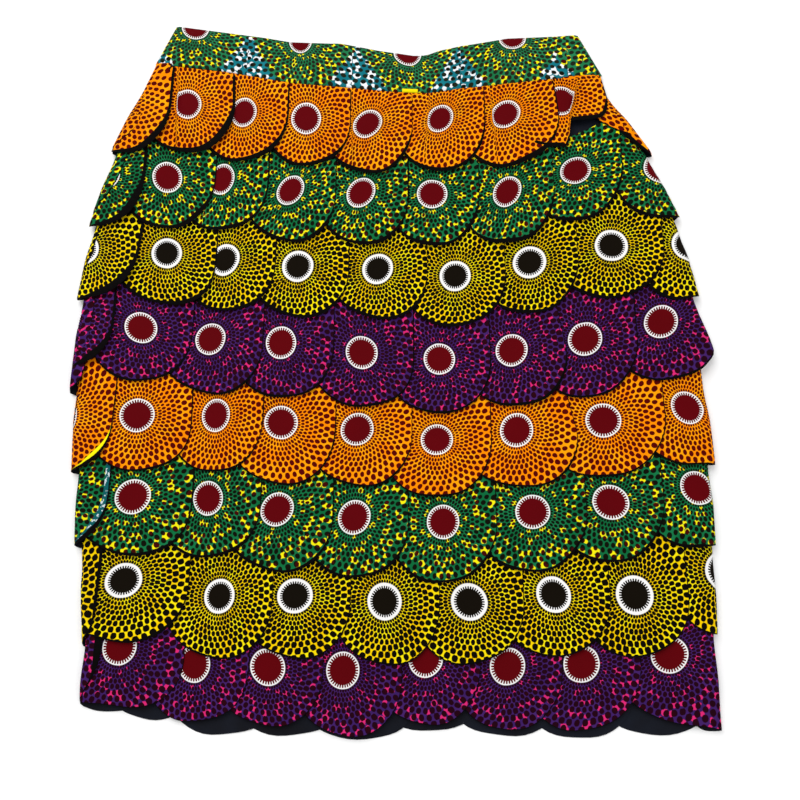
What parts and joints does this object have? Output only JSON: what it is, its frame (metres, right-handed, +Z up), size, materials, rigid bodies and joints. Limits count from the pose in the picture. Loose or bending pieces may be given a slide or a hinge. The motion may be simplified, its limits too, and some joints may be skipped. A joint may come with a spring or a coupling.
{
  "type": "african print skirt",
  "caption": "Fitted knee-length skirt of overlapping round-ended print petals in tiers, laid flat on its back panel.",
  "frame": {"origin": "middle of the skirt's outline, on the surface that it lies on", "axes": "+Z up out of the front panel, +Y towards the waist, +X to the right as seen from above with the waist at the far end"},
  "size_m": [0.532, 0.6175, 0.014],
  "materials": {
    "print_orange": "printed cotton, orange ground with maroon dots in rings round a disc",
    "print_green": "printed cotton, green ground with dark dots and yellow crackle",
    "print_yellow": "printed cotton, yellow ground with black dots in rings round a disc",
    "print_purple": "printed cotton, purple ground with pink crackle",
    "waistband_print": "printed cotton over interfacing, green with teal wedges",
    "dark_cotton": "plain navy-black cotton, slight sheen"
  },
  "bodies": {
    "root": {"waistband_front": "waistband_print", "waistband_back_left": "waistband_print", "waistband_back_right": "waistband_print", "base_front": "dark_cotton", "base_back_left": "dark_cotton", "base_back_right": "dark_cotton", "tier_1_front": "print_orange", "tier_1_back": "print_orange", "tier_2_front": "print_green", "tier_2_back": "print_green", "tier_3_front": "print_yellow", "tier_3_back": "print_yellow", "tier_4_front": "print_purple", "tier_4_back": "print_purple", "tier_5_front": "print_orange", "tier_5_back": "print_orange", "tier_6_front": "print_green", "tier_6_back": "print_green", "tier_7_front": "print_yellow", "tier_7_back": "print_yellow", "tier_8_front": "print_purple", "tier_8_back": "print_purple"}
  },
  "joints": []
}
